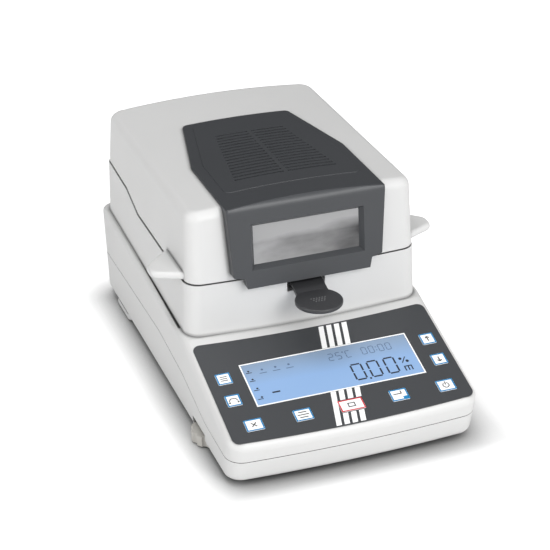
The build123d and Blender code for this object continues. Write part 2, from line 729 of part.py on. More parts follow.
def pan_lifter():
    # Ring under the pan's rim, with a cranked neck and a round thumb plate outside
    ring = upright(LIFTER_OUTER, LIFTER_Z, LIFTER_Z + LIFTER_THICK, 0, PAN_Y)
    ring -= upright(LIFTER_INNER, 60, 140, 0, PAN_Y)
    start = PAN_Y - LIFTER_OUTER + 3
    wall = NECK_FRONT - FRONT_BOW
    low, top = LIFTER_Z, LIFTER_Z + LIFTER_THICK
    rise = HANDLE_NECK_Z
    disc_back = HANDLE_DISC_Y + HANDLE_DISC_RADIUS - 4
    side = Polyline((start, low), (start, top), (start - 8, rise + LIFTER_THICK),
                    (wall - 2, rise + LIFTER_THICK), (disc_back, HANDLE_DISC_Z + HANDLE_DISC_THICK),
                    (disc_back - 6, HANDLE_DISC_Z + HANDLE_DISC_THICK),
                    (disc_back - 6, HANDLE_DISC_Z), (disc_back, HANDLE_DISC_Z), (wall - 2, rise),
                    (start - 8, rise), close=True)
    strip = extrude(make_face(Plane.YZ * side), HANDLE_NECK_HALF, dir=(1, 0, 0), both=True)
    disc = upright(HANDLE_DISC_RADIUS, HANDLE_DISC_Z, HANDLE_DISC_Z + HANDLE_DISC_THICK, 0,
                   HANDLE_DISC_Y)
    disc = fillet(disc.edges(), 1.2)
    return ring + strip + disc


def sample_pan():
    pan = upright(PAN_RADIUS, PAN_FLOOR_Z, PAN_RIM_Z, 0, PAN_Y)
    pan = fillet(pan.edges().sort_by(Axis.Z)[0], 2.0)
    pan += upright(PAN_RADIUS + PAN_FLANGE, PAN_RIM_Z - PAN_SHEET, PAN_RIM_Z, 0, PAN_Y)
    pan -= upright(PAN_RADIUS - PAN_SHEET, PAN_FLOOR_Z + PAN_SHEET, PAN_RIM_Z + 1, 0, PAN_Y)
    return pan


def pan_carrier():
    # Three arms on a hub, on the load cell's spindle
    low = PAN_FLOOR_Z - CARRIER_THICK
    hub = upright(9, low, PAN_FLOOR_Z, 0, PAN_Y)
    arm = Pos(CARRIER_REACH / 2, 0, 0) * Box(CARRIER_REACH, 7, CARRIER_THICK)
    for turn in (90, 210, 330):
        hub += Pos(0, PAN_Y, low + CARRIER_THICK / 2) * Rot(0, 0, turn) * arm
    spindle_low = CELL_Z + CELL_HEIGHT + WEIGH_TRAVEL + 0.1
    hub += upright(SPINDLE_RADIUS, spindle_low, low, 0, PAN_Y)
    return hub


def load_cell():
    # Bending beam with the usual double eye in the middle
    free_end = PAN_Y - CELL_END / 2
    middle = free_end + CELL_LENGTH / 2
    beam = Pos(0, middle, CELL_Z + CELL_HEIGHT / 2) * Box(CELL_WIDTH, CELL_LENGTH, CELL_HEIGHT)
    eye = CELL_LENGTH / 2 - CELL_END - CELL_EYE
    for shift in (-eye, eye):
        beam -= on_axis_x(CELL_EYE, -40, 40, middle + shift, CELL_Z + CELL_HEIGHT / 2)
    beam -= Pos(0, middle, CELL_Z + CELL_HEIGHT / 2) * Box(60, 2 * eye, CELL_SLOT)
    return beam


def load_cell_mount():
    # Cast plate with a riser under the cell's fixed end and a stop under its free end
    plate = Pos(0, MOUNT_Y, MOUNT_Z + MOUNT_THICK / 2) * Box(MOUNT_WIDE, MOUNT_LONG, MOUNT_THICK)
    fixed_end = PAN_Y + CELL_LENGTH - CELL_END
    riser = Pos(0, fixed_end, (MOUNT_Z + CELL_Z) / 2) * Box(CELL_WIDTH + 6, CELL_END, CELL_Z - MOUNT_Z)
    return plate + riser + upright(SPINDLE_RADIUS - 1, MOUNT_Z, CELL_Z - CELL_STOP_GAP, 0, PAN_Y)


def main_board():
    board = Pos(MAIN_BOARD_X, MAIN_BOARD_Y, MAIN_BOARD_Z + BOARD_THICK / 2) * Box(
        MAIN_BOARD_WIDE, MAIN_BOARD_LONG, BOARD_THICK)
    top = MAIN_BOARD_Z + BOARD_THICK
    for x, y, wide, long, high in MAIN_BOARD_CHIPS:
        board += Pos(MAIN_BOARD_X + x, MAIN_BOARD_Y + y, top + high / 2) * Box(wide, long, high)
    return board


def power_supply():
    # Mains transformer: laminated core with its winding, on a foot plate
    place = Pos(SUPPLY_X, SUPPLY_Y, MOUNT_Z + SUPPLY_HIGH / 2)
    core = place * Box(SUPPLY_WIDE, SUPPLY_LONG * 0.45, SUPPLY_HIGH)
    coil = place * Box(SUPPLY_WIDE * 0.6, SUPPLY_LONG * 0.8, SUPPLY_HIGH * 0.7)
    coil = fillet(coil.edges().filter_by(Axis.Y), 4)
    foot = Pos(SUPPLY_X, SUPPLY_Y, MOUNT_Z + SUPPLY_FOOT / 2) * Box(SUPPLY_WIDE, SUPPLY_LONG, SUPPLY_FOOT)
    return core + coil + foot


def level_well():
    # Hole in the deck for the spirit level
    return upright(LEVEL_RADIUS + LEVEL_WALL + 0.1, DECK_Z - DECK_THICK - 1, DECK_Z + 5, LEVEL_X, LEVEL_Y)


def level_ring():
    # Cup that drops into the deck and holds the vial
    ring = upright(LEVEL_RADIUS + LEVEL_WALL, DECK_Z - LEVEL_DEEP - 1.2, DECK_Z, LEVEL_X, LEVEL_Y)
    ring += upright(LEVEL_RADIUS + LEVEL_WALL + 1.5, DECK_Z, DECK_Z + 0.6, LEVEL_X, LEVEL_Y)
    return ring - upright(LEVEL_RADIUS, DECK_Z - LEVEL_DEEP, DECK_Z + 5, LEVEL_X, LEVEL_Y)


def level_vial():
    return upright(LEVEL_RADIUS - 0.05, DECK_Z - LEVEL_DEEP, DECK_Z + 0.3, LEVEL_X, LEVEL_Y)


def foot_wheel(side):
    x = side * FOOT_X
    wheel = upright(WHEEL_RADIUS, WHEEL_LOW, WHEEL_HIGH, x, FOOT_FRONT_Y)
    for step in range(WHEEL_LOBES):
        turn = radians(360 / WHEEL_LOBES * (step + 0.5))
        reach = WHEEL_RADIUS + WHEEL_LOBE_CUT * 0.55
        wheel -= upright(WHEEL_LOBE_CUT, 0, 20, x + reach * cos(turn), FOOT_FRONT_Y + reach * sin(turn))
    wheel += upright(STUD_RADIUS, WHEEL_HIGH - 1, STUD_TOP - 3, x, FOOT_FRONT_Y)
    wheel -= upright(PAD_PIN_RADIUS + RUN_FIT, 0, PAD_PIN_TOP + 0.3, x, FOOT_FRONT_Y)
    return wheel


def foot_pad(side):
    x = side * FOOT_X
    pad = upright(PAD_RADIUS, 0, PAD_THICK, x, FOOT_FRONT_Y)
    return pad + upright(PAD_PIN_RADIUS, 0, PAD_PIN_TOP, x, FOOT_FRONT_Y)


def rear_feet():
    pads = [upright(REAR_PAD_RADIUS, 0, REAR_PAD_THICK, side * (FOOT_X - 3), FOOT_BACK_Y)
            for side in (-1, 1)]
    return Compound(children=pads)


def inlet_socket():
    # Three-pin appliance inlet with room for the fuse drawer above its mouth
    flange = Pos(INLET_X, BACK - INLET_FLANGE / 2, INLET_Z) * Box(INLET_WIDE, INLET_FLANGE, INLET_HIGH)
    body = Pos(INLET_X, BACK - INLET_FLANGE - INLET_BODY_DEEP / 2, INLET_Z) * Box(
        INLET_WIDE - 4, INLET_BODY_DEEP, INLET_HIGH - 4)
    mouth_z = INLET_Z - INLET_HIGH / 2 + INLET_MOUTH_HIGH / 2 + MOUTH_ABOVE_LOW
    mouth = Rectangle(INLET_MOUTH_WIDE, INLET_MOUTH_HIGH)
    mouth = chamfer(mouth.vertices().group_by(Axis.Y)[-1], MOUTH_CHAMFER)
    plane = Plane(origin=(INLET_X, BACK + 1, mouth_z), x_dir=(-1, 0, 0), z_dir=(0, 1, 0))
    socket = flange + body - plane * extrude(mouth, -INLET_MOUTH_DEEP - 1)
    pin = Box(PIN_THICK, INLET_MOUTH_DEEP, PIN_TALL)
    for step, lift in ((-1, -2.0), (0, 2.0), (1, -2.0)):
        socket += Pos(INLET_X + step * PIN_PITCH, BACK - 1.5 - INLET_MOUTH_DEEP / 2, mouth_z + lift) * pin
    return socket - fuse_drawer(BED_FIT)


def fuse_drawer(grow=0.0):
    # Drawer that lies flush in the inlet's face
    z = INLET_Z + INLET_HIGH / 2 - FUSE_BELOW_TOP - FUSE_HIGH / 2
    return Pos(INLET_X, BACK - (FUSE_DEEP - grow) / 2, z) * Box(
        FUSE_WIDE + 2 * grow, FUSE_DEEP + 3 * grow, FUSE_HIGH + 2 * grow)


def serial_port():
    # Nine-way connector: a flange with the D-shaped shell behind it
    flange = Pos(PORT_X, BACK - PORT_NUT - PORT_FLANGE / 2, PORT_Z) * Box(PORT_WIDE, PORT_FLANGE, PORT_HIGH)
    outline = Rectangle(*PORT_SHELL)
    outline = fillet(chamfer(outline.vertices().group_by(Axis.Y)[0], 1.6).vertices(), 1.0)
    plane = Plane(origin=(PORT_X, BACK - PORT_NUT, PORT_Z), x_dir=(-1, 0, 0), z_dir=(0, 1, 0))
    return flange + plane * Pos(0, 0, -PORT_DEEP) * extrude(outline, PORT_DEEP)


def port_screws():
    # Hexagonal nuts beside the connector
    places = [PORT_X + side * PORT_SCREW_PITCH / 2 for side in (-1, 1)]
    nut = Rot(90, 0, 0) * extrude(RegularPolygon(PORT_NUT_RADIUS, 6), PORT_NUT)
    return Compound(children=[Pos(x, BACK, PORT_Z) * nut for x in places])


def housing_screws():
    # Cross-head screws from below
    long, wide = SCREW_CROSS
    screws = []
    for x, y in housing_screw_places():
        screw = upright(SCREW_HEAD_RADIUS, SCREW_HEAD_LOW, SCREW_HEAD_TOP, x, y)
        screw += upright(SCREW_RADIUS, SCREW_HEAD_TOP, SCREW_TOP, x, y)
        for turned in ((long, wide), (wide, long)):
            screw -= Pos(x, y, SCREW_HEAD_LOW) * Box(*turned, 1.6)
        screws.append(screw)
    return Compound(children=screws)


def hinge_brackets():
    # Fixed half of each hinge on the back of the neck
    halves = []
    for middle, inner, left, right in hinge_sides():
        plate = Pos(middle, NECK_BACK + LEAF_THICK / 2 + SKIN, HINGE_Z - 3 - LEAF_HIGH / 2) * Box(
            right[1] - left[0], LEAF_THICK, LEAF_HIGH)
        for span in (left, right):
            plate += on_axis_x(KNUCKLE_RADIUS, span[0], span[1], HINGE_Y, HINGE_Z)
        plate -= on_axis_x(HINGE_PIN_RADIUS, left[0] - 5, right[1] + 5, HINGE_Y, HINGE_Z)
        plate -= on_axis_x(KNUCKLE_RADIUS + NOTCH_CLEAR, inner[0] - KNUCKLE_GAP, inner[1] + KNUCKLE_GAP,
                           HINGE_Y, HINGE_Z)
        halves.append(plate)
    return Compound(children=halves)


def hinge_pins():
    pins = [on_axis_x(HINGE_PIN_RADIUS, left[0], right[1], HINGE_Y, HINGE_Z)
            for middle, inner, left, right in hinge_sides()]
    return Compound(children=pins)


def hinge_leaves():
    # Moving half of each hinge on the back of the lid
    lean = degrees(atan2(NECK_BACK - LID_BACK_TOP, LID_CROWN_Z - REAR_DECK_Z))
    halves = []
    for middle, inner, left, right in hinge_sides():
        knuckle = on_axis_x(KNUCKLE_RADIUS, inner[0], inner[1], HINGE_Y, HINGE_Z)
        leaf = Pos(0, LEAF_THICK / 2 + SKIN, LEAF_HIGH / 2) * Box(KNUCKLE_LONG, LEAF_THICK, LEAF_HIGH + 2)
        back = NECK_BACK - (HINGE_Z - REAR_DECK_Z) * tan(radians(lean))
        leaf = Pos(middle, back, HINGE_Z) * Rot(lean, 0, 0) * leaf
        knuckle += leaf
        knuckle -= on_axis_x(HINGE_PIN_RADIUS + RUN_FIT, left[0], right[1], HINGE_Y, HINGE_Z)
        halves.append(knuckle)
    return Compound(children=halves)


def crown(top):
    # Everything under the lid's gently crowned top
    rise = LID_CROWN_Z - LID_EDGE_Z
    radius = (LID_TOP_HALF ** 2 + rise ** 2) / (2 * rise)
    return Pos(0, 0, top - radius) * Rot(90, 0, 0) * Cylinder(radius, 700)


def lid_outside(inset=0.0):
    low, high = 110.0, 190.0
    side_lean = (LID_BOTTOM_HALF - LID_TOP_HALF) / (LID_EDGE_Z - DECK_Z)
    bottom = LID_BOTTOM_HALF - inset + side_lean * (DECK_Z - low)
    top = LID_TOP_HALF - inset - side_lean * (high - LID_EDGE_Z)
    back_lean = (NECK_BACK - LID_BACK_TOP) / (LID_CROWN_Z - REAR_DECK_Z)
    back_low = NECK_BACK - inset + back_lean * (REAR_DECK_Z - low)
    back_high = NECK_BACK - inset - back_lean * (high - REAR_DECK_Z)
    front_lean = degrees(atan2(LID_FRONT_TOP - LID_FRONT_BOTTOM, LID_EDGE_Z - DECK_Z))
    block = along([(-bottom, low), (bottom, low), (top, high), (-top, high)])
    block &= across([(-120, low), (back_low, low), (back_high, high), (-120, high)])
    block &= bowed_front(LID_BOTTOM_HALF, LID_FRONT_BOTTOM, DECK_Z, -front_lean, inset)
    block = round_corners(block, NECK_CORNER - inset, NECK_CORNER - inset)
    block &= crown(LID_CROWN_Z - inset)
    rim = block.edges().filter_by(lambda e: e.center().Z > 160 and abs(e.tangent_at(0.5).Z) < 0.7)
    return fillet(rim, LID_TOP_ROUND - inset)


def above_split(rise=LID_GAP):
    # Everything over the lid's stepped bottom edge
    top = 260.0
    return across([(-BACK, top), *deck_line(rise), (BACK + 5, top)])


def ear(side):
    # Rounded tongue on the lid's lower edge
    root = side * (LID_BOTTOM_HALF - 2)
    tip = side * EAR_SPAN / 2
    shape = Polyline((root, EAR_Y - EAR_ROOT / 2), (tip, EAR_TIP_Y - EAR_TIP / 2),
                     (tip, EAR_TIP_Y + EAR_TIP / 2), (root, EAR_Y + EAR_ROOT / 2), close=True)
    face = make_face(shape)
    tips = face.vertices().filter_by(lambda v: abs(v.X) > EAR_SPAN / 2 - 1)
    face = fillet(tips, EAR_CORNER)
    tongue = Pos(0, 0, DECK_Z + LID_GAP) * extrude(face, EAR_THICK)
    edges = tongue.edges().filter_by(lambda e: abs(e.center().X) > LID_BOTTOM_HALF and
                                     abs(e.tangent_at(0.5).Z) < 0.5)
    return fillet(edges, EAR_ROUND)


def cover_plan(inset=0.0, front=COVER_FRONT_BOTTOM - 10):
    half, back_half = COVER_HALF - inset, COVER_BACK_HALF - inset * 0.7
    shape = Polyline((-half, front), (half, front), (half, COVER_KINK - inset * 0.3),
                     (back_half, COVER_BACK - inset), (-back_half, COVER_BACK - inset),
                     (-half, COVER_KINK - inset * 0.3), close=True)
    face = make_face(shape)
    # The plateau's front corners are rounded too
    corners = face.vertices().filter_by(lambda v: v.Y > 0 or front > COVER_FRONT_TOP)
    return fillet(corners, COVER_CORNER)


def cover_front():
    # Front view of the cover: it narrows downwards and ends in a tab over the neck
    right = [(COVER_HALF, 200.0), (COVER_HALF, LID_EDGE_Z), (COVER_STEP_HALF, COVER_STEP_Z),
             (TAB_TOP_HALF, TAB_TOP_Z), (TAB_HALF, TAB_Z)]
    left = [(-x, z) for x, z in reversed(right)]
    return along(right + left)


def cover_side():
    # Side view of the cover: flat top, rounded brow, leaning front
    top = LID_CROWN_Z + COVER_PROUD + 1
    shape = Polyline((COVER_BACK + 5, 60), (COVER_BACK + 5, top), (COVER_FRONT_TOP, top),
                     (COVER_FRONT_BOTTOM, TAB_Z), (COVER_FRONT_BOTTOM, 60), close=True)
    face = make_face(shape)
    brow = face.vertices().filter_by(lambda v: v.Y > top - 1 and v.X < 0)
    face = fillet(brow, COVER_NOSE_ROUND)
    return extrude(Plane.YZ * face, 200, dir=(1, 0, 0), both=True)


def cover_plane(down, depth):
    # Plane on the cover's leaning front, at the window's middle and so deep behind the skin
    lean = atan2(COVER_FRONT_TOP - COVER_FRONT_BOTTOM, LID_CROWN_Z + COVER_PROUD + 1 - TAB_Z)
    middle = (WINDOW_LOW + WINDOW_HIGH) / 2 - down
    y = COVER_FRONT_BOTTOM + (middle - TAB_Z) * tan(lean)
    inward = (0, cos(lean), -sin(lean))
    origin = (0, y + depth * inward[1], middle + depth * inward[2])
    return Plane(origin=origin, x_dir=(-1, 0, 0), z_dir=inward)


def window_block(grow, near, far):
    # Rounded window block between two depths behind the cover's front
    high = WINDOW_HIGH - WINDOW_LOW
    shape = RectangleRounded(2 * (WINDOW_HALF + grow), high + 2 * grow, 1.5)
    return cover_plane(0, near) * extrude(shape, far - near)


def vent_slots(low, high):
    # Two columns of cross slots that widen towards the front
    cuts = []
    for step in range(SLOT_COUNT):
        share = step / (SLOT_COUNT - 1)
        y = SLOT_FRONT + (SLOT_BACK - SLOT_FRONT) * share
        reach = SLOT_GRID_FRONT_HALF + (SLOT_GRID_BACK_HALF - SLOT_GRID_FRONT_HALF) * share
        long = reach - SLOT_RIB_HALF
        for side in (-1, 1):
            x = side * (SLOT_RIB_HALF + long / 2)
            cuts.append(Pos(x, y, (low + high) / 2) * Box(long, SLOT_WIDE, high - low))
    return cuts


def cover_outside():
    # Outer form of the cover: plan, front view and side view in one, with softened edges
    outer = Pos(0, 0, 60) * extrude(cover_plan(), 200)
    outer = outer & cover_front() & cover_side() & crown(LID_CROWN_Z + COVER_PROUD)
    side_edges = outer.edges().filter_by(
        lambda e: e.center().Y < -70 and COVER_STEP_Z < e.center().Z < LID_EDGE_Z
        and abs(e.tangent_at(0.5).Z) > 0.9)
    outer = fillet(side_edges, COVER_EDGE_ROUND)
    rim = outer.edges().filter_by(
        lambda e: e.center().Z > LID_EDGE_Z - 8 and abs(e.tangent_at(0.5).Z) < 0.6
        and (abs(e.center().X) > 20 or e.center().Y > 60) and e.center().Y > -70)
    return fillet(rim, COVER_RIM_ROUND)


def cover_plateau():
    # Raised field around the vent slots
    plateau = Pos(0, 0, 170) * extrude(cover_plan(PLATEAU_INSET, PLATEAU_FRONT), 40)
    plateau &= crown(LID_CROWN_Z + COVER_PROUD + PLATEAU_PROUD)
    top_edges = plateau.edges().filter_by(
        lambda e: e.center().Z > LID_EDGE_Z - 6 and abs(e.tangent_at(0.5).Z) < 0.6)
    return fillet(top_edges, PLATEAU_ROUND)


def lid_cover():
    cover = cover_outside() + cover_plateau()
    cover -= lid_outside(-SKIN)
    # The tab stands clear of the neck behind it
    clear = NECK_FRONT - FRONT_BOW - 0.8
    cover -= across([(clear, 60), (clear, DECK_Z + LID_GAP + 1), (BACK, DECK_Z + LID_GAP + 1),
                     (BACK, 60)])
    # Window with bevelled reveal, and a pocket behind it for the glass and its gasket
    high = WINDOW_HIGH - WINDOW_LOW
    reveal = extrude(Rectangle(2 * (WINDOW_HALF + WINDOW_BEVEL), high + 2 * WINDOW_BEVEL),
                     WINDOW_DEPTH, taper=degrees(atan2(WINDOW_BEVEL, WINDOW_DEPTH)))
    cover -= cover_plane(0, 0) * reveal
    cover -= window_block(WINDOW_FRAME, WINDOW_DEPTH, WINDOW_DEPTH + 20)
    for slot in vent_slots(170, 200):
        cover -= slot
    return cover


def window_glass():
    return window_block(WINDOW_FRAME - 0.2, WINDOW_DEPTH, WINDOW_DEPTH + WINDOW_GLASS)


def window_frame():
    near = WINDOW_DEPTH + WINDOW_GLASS
    frame = window_block(WINDOW_FRAME - 0.2, near, near + GASKET_THICK)
    return frame - window_block(0.2, near - 1, near + 5)


def lid_shell():
    shell = lid_outside() - lid_outside(LID_WALL)
    posts = lid_posts()
    solid_inside = lid_outside(1.0)
    for x, y, low in posts:
        shell += upright(POST_RADIUS + 0.5, low, 190, x, y) & solid_inside
    shell &= above_split()
    for side in (-1, 1):
        shell += ear(side)
    # Openings behind the cover for the window and the vent slots
    shell -= window_block(WINDOW_FRAME, WINDOW_DEPTH, WINDOW_DEPTH + 20)
    vent_middle = (SLOT_FRONT + SLOT_BACK) / 2
    shell -= Pos(0, vent_middle, 185) * Box(2 * SLOT_GRID_FRONT_HALF, SLOT_BACK - SLOT_FRONT + 8, 40)
    for middle, inner, left, right in hinge_sides():
        shell -= on_axis_x(KNUCKLE_RADIUS + NOTCH_CLEAR, left[0] - 1, right[1] + 1, HINGE_Y, HINGE_Z)
    return shell


def lid_posts():
    # Places and lower ends of the posts that carry the lid's base plate
    front = LID_PLATE_Z + LID_SHEET
    rear = LID_PLATE_REAR_Z + LID_SHEET
    return [(side * LID_POST_X, y, low) for side in (-1, 1)
            for y, low in ((-38.0, front), (58.0, front), (140.0, rear))]


def lid_base_plate():
    # Bent sheet that closes the lid from below, with an opening under the heater hood
    line = [(LID_FRONT_BOTTOM + LID_WALL + 0.8, LID_PLATE_Z), (DECK_STEP_FRONT - 1, LID_PLATE_Z),
            (DECK_STEP_BACK - 1, LID_PLATE_REAR_Z), (NECK_BACK - LID_WALL - 7, LID_PLATE_REAR_Z)]
    upper = [(y, z + LID_SHEET) for y, z in reversed(line)]
    half = LID_BOTTOM_HALF - LID_WALL - 0.8
    plate = extrude(make_face(Plane.YZ * Polyline(*(line + upper), close=True)), half,
                    dir=(1, 0, 0), both=True)
    plate &= lid_outside(LID_WALL + FIT)
    long = HOOD_BACK - HOOD_FRONT - 2 * HOOD_SHEET
    return plate - Pos(0, (HOOD_BACK + HOOD_FRONT) / 2, LID_PLATE_Z) * Box(
        2 * (HOOD_HALF - HOOD_SHEET), long, 20)


def heater_hood():
    # Folded steel box over the chamber, open below and in front of the window
    low = LID_PLATE_Z + LID_SHEET
    long = HOOD_BACK - HOOD_FRONT
    middle = (HOOD_BACK + HOOD_FRONT) / 2
    box = Pos(0, middle, (low + HOOD_TOP) / 2) * Box(2 * HOOD_HALF, long, HOOD_TOP - low)
    box += Pos(0, middle, low + HOOD_SHEET / 2) * Box(2 * HOOD_HALF + 12, long, HOOD_SHEET)
    inner = (low + HOOD_TOP) / 2 - HOOD_SHEET
    box -= Pos(0, middle, inner) * Box(2 * (HOOD_HALF - HOOD_SHEET), long - 2 * HOOD_SHEET,
                                       HOOD_TOP - low)
    box -= Pos(0, HOOD_FRONT, (WINDOW_LOW + WINDOW_HIGH) / 2) * Box(
        2 * WINDOW_HALF, 10, WINDOW_HIGH - WINDOW_LOW)
    # Air holes over the lamp, under the cover's slots
    for y in (-24.0, 44.0):
        box -= Pos(0, y, HOOD_TOP) * Box(60, 8, 10)
    return box


def reflector():
    # Curved trough over the lamp
    top = HOOD_TOP - HOOD_SHEET - 0.2
    half, rise = REFLECTOR_HALF, REFLECTOR_DEEP
    outer = ThreePointArc((PAN_Y - half, top - rise), (PAN_Y, top), (PAN_Y + half, top - rise))
    sheet = REFLECTOR_SHEET
    inner = ThreePointArc((PAN_Y + half - sheet, top - rise), (PAN_Y, top - sheet),
                          (PAN_Y - half + sheet, top - rise))
    ends = Line((PAN_Y + half, top - rise), (PAN_Y + half - sheet, top - rise))
    other = Line((PAN_Y - half + sheet, top - rise), (PAN_Y - half, top - rise))
    face = make_face(Plane.YZ * (outer + ends + inner + other))
    return extrude(face, LAMP_LONG / 2 - 1, dir=(1, 0, 0), both=True)


def halogen_lamp():
    tube = on_axis_x(LAMP_RADIUS, -LAMP_LONG / 2 + 1, LAMP_LONG / 2 - 1, PAN_Y, LAMP_Z)
    ends = on_axis_x(LAMP_PIN_RADIUS, -LAMP_LONG / 2 - 5, LAMP_LONG / 2 + 5, PAN_Y, LAMP_Z)
    return tube + ends


def lamp_holders():
    # Ceramic blocks that hang from the hood and hold the lamp's ends
    top = HOOD_TOP - HOOD_SHEET
    low = LAMP_Z - 7
    blocks = []
    for side in (-1, 1):
        x = side * (LAMP_LONG / 2 + 5)
        block = Pos(x, PAN_Y, (low + top) / 2) * Box(10, 16, top - low)
        block -= on_axis_x(LAMP_PIN_RADIUS + 0.1, x - 7, x + 7, PAN_Y, LAMP_Z)
        blocks.append(block)
    return Compound(children=blocks)


def lamp_glass():
    # Flat disc that keeps the sample away from the lamp
    return upright(LAMP_GLASS_RADIUS, LAMP_GLASS_Z, LAMP_GLASS_Z + LAMP_GLASS_THICK, 0, PAN_Y)


def glass_clips():
    # Four arms on the hood's sides that carry the glass
    arms = []
    wall = HOOD_HALF - HOOD_SHEET
    reach = 18.0
    for side in (-1, 1):
        for shift in (-32.0, 32.0):
            arm = Pos(side * (wall - reach / 2), PAN_Y + shift, LAMP_GLASS_Z - 1.2) * Box(reach, 6, 2)
            arms.append(arm)
    return Compound(children=arms)


def temperature_probe():
    back = HOOD_BACK - HOOD_SHEET
    rod = Pos(20, back - 18, PROBE_Z) * Rot(90, 0, 0) * Cylinder(1.5, 36)
    return rod + Pos(20, back - 2, PROBE_Z) * Rot(90, 0, 0) * Cylinder(4, 4)


def lid_screws():
    screws = []
    for x, y, low in lid_posts():
        top = low - LID_SHEET
        screws.append(fillet(upright(3.2, top - 1.8, top, x, y).edges().sort_by(Axis.Z)[0], 1.0))
    return Compound(children=screws)


PARTS = [bottom_shell, top_shell, panel_overlay, display_window, lcd_module, keypad_board,
         chamber_ring, chamber_floor, draft_shield, pan_lifter, sample_pan, pan_carrier, load_cell,
         load_cell_mount, main_board, power_supply, level_vial, level_ring, rear_feet, inlet_socket,
         fuse_drawer, serial_port, port_screws, housing_screws, hinge_brackets, hinge_pins,
         hinge_leaves, lid_shell, lid_cover, window_glass, window_frame, lid_base_plate, heater_hood,
         reflector, halogen_lamp, lamp_holders, lamp_glass, glass_clips, temperature_probe,
         lid_screws]

os.makedirs("parts", exist_ok=True)
for make in PARTS:
    export_step(make(), "parts/" + make.__name__ + ".step")
for name, x, down, wide, tall in key_list():
    export_step(key_cap(x, down, wide, tall), "parts/" + name + ".step")
for label, side in (("left", -1), ("right", 1)):
    export_step(foot_wheel(side), "parts/foot_wheel_" + label + ".step")
    export_step(foot_pad(side), "parts/foot_pad_" + label + ".step")
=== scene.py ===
import bpy
from math import atan2, cos, radians, sin
from mathutils import Matrix, Vector


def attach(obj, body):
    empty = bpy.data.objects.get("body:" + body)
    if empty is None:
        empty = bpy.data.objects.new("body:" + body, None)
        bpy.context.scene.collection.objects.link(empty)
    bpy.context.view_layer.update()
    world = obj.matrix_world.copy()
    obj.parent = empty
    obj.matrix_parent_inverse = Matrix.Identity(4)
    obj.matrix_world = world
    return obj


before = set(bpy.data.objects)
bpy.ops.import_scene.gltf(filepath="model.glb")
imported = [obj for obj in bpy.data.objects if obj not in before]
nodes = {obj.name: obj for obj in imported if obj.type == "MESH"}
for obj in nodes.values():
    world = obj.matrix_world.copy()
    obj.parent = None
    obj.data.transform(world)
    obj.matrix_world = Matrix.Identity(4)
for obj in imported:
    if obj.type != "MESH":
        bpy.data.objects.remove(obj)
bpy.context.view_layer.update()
MM = 0.001

# Housing: bottom and top shell.
# Moulded in white ABS with a very fine spark-eroded grain; the two halves meet at the seam line
# and are held by four screws from below.
HOUSING_WHITE = (0.66, 0.66, 0.656)


def finish(name, colour, rough, metal=0.0, grain=900.0, depth=0.05, shade=0.06):
    # Moulded, plated or machined surface: a fine bump and a slight uneven tone
    mat = bpy.data.materials.new(name)
    mat.use_nodes = True
    tree = mat.node_tree
    shader = tree.nodes["Principled BSDF"]
    shader.inputs["Roughness"].default_value = rough
    shader.inputs["Metallic"].default_value = metal
    place = tree.nodes.new("ShaderNodeTexCoord")
    noise = tree.nodes.new("ShaderNodeTexNoise")
    noise.inputs["Scale"].default_value = grain
    noise.inputs["Detail"].default_value = 3.0
    cloud = tree.nodes.new("ShaderNodeTexNoise")
    cloud.inputs["Scale"].default_value = 14.0
    ramp = tree.nodes.new("ShaderNodeValToRGB")
    ramp.color_ramp.elements[0].position = 0.3
    ramp.color_ramp.elements[0].color = tuple(c * (1 - shade) for c in colour) + (1,)
    ramp.color_ramp.elements[1].position = 0.7
    ramp.color_ramp.elements[1].color = tuple(colour) + (1,)
    bump = tree.nodes.new("ShaderNodeBump")
    bump.inputs["Strength"].default_value = depth
    bump.inputs["Distance"].default_value = 0.0002
    tree.links.new(place.outputs["Object"], noise.inputs["Vector"])
    tree.links.new(place.outputs["Object"], cloud.inputs["Vector"])
    tree.links.new(cloud.outputs["Fac"], ramp.inputs["Fac"])
    tree.links.new(ramp.outputs["Color"], shader.inputs["Base Color"])
    tree.links.new(noise.outputs["Fac"], bump.inputs["Height"])
    tree.links.new(bump.outputs["Normal"], shader.inputs["Normal"])
    return mat


def coat(mat, *names):
    # Gives CAD nodes their material
    for name in names:
        mesh = nodes[name].data
        mesh.materials.clear()
        mesh.materials.append(mat)


def paint_crevice_shade(mat, reach, power):
    # Painted shade: darkens the colour where little light gets in: seams, gaps, the contact with the
    # table
    tree = mat.node_tree
    colour = tree.nodes["Principled BSDF"].inputs["Base Color"]
    source = colour.links[0].from_socket
    shut = tree.nodes.new("ShaderNodeAmbientOcclusion")
    shut.samples = 8
    shut.inputs["Distance"].default_value = reach
    steep = tree.nodes.new("ShaderNodeMath")
    steep.operation = "POWER"
    steep.inputs[1].default_value = power
    dim = tree.nodes.new("ShaderNodeVectorMath")
    dim.operation = "SCALE"
    tree.links.new(shut.outputs["AO"], steep.inputs[0])
    tree.links.new(source, dim.inputs[0])
    tree.links.new(steep.outputs["Value"], dim.inputs["Scale"])
    tree.links.new(dim.outputs["Vector"], colour)


# Painted shade in the housing's seams and gaps and near the table, where little light gets in
SEAM_SHADE_REACH, SEAM_SHADE_POWER = 3.5 * MM, 1.6
housing = finish("housing", HOUSING_WHITE, 0.42, shade=0.02)
paint_crevice_shade(housing, SEAM_SHADE_REACH, SEAM_SHADE_POWER)
coat(housing, "top_shell", "bottom_shell", "lid_shell")

# Key panel: a printed polyester foil glued into its bed, with even white stripes across it.
# The stripes run up to the display's frame and stop around the middle key.
PANEL_AT = (0.0, -75.2 * MM, 72.1 * MM)
PANEL_SLOPE = radians(16)
FOIL_TOP = 0.2
PRINT_THICK, INK_THICK = 0.06, 0.05
foil = finish("foil", (0.046, 0.049, 0.054), 0.5, grain=1600.0, depth=0.12)
coat(foil, "panel_overlay")
white_print = finish("white_print", (0.86, 0.86, 0.86), 0.5, grain=1600.0)


